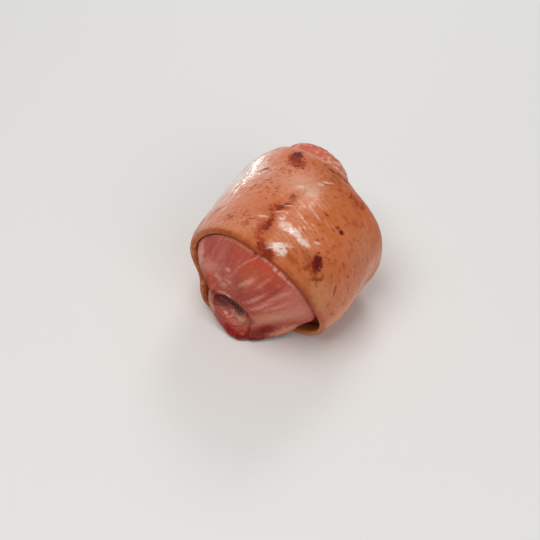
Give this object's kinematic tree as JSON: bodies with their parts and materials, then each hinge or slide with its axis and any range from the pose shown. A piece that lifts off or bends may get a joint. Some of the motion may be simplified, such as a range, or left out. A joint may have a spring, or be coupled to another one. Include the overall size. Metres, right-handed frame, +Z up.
{
  "type": "roast ham hock",
  "caption": "Roast ham hock lying on its side: a barrel of cured pork wrapped in glossy browned rind, with a slanted cut face that shows the muscle and the shank bone.",
  "frame": {"origin": "middle of the hock's underside, on the surface it lies on", "axes": "+Z up, +Y along the hock from the wide cut face to the narrow shank end, +X to the right seen from the cut face"},
  "size_m": [0.1229, 0.1519, 0.0937],
  "materials": {
    "rind": "moist glossy roasted rind, salmon to orange-brown with dark roasted spots",
    "meat": "moist pink to brick-red cooked muscle with pale fibres",
    "bone": "dull grey-beige cooked bone end with dark marrow"
  },
  "bodies": {
    "root": {"hock": "rind", "bone": "bone"}
  },
  "joints": []
}
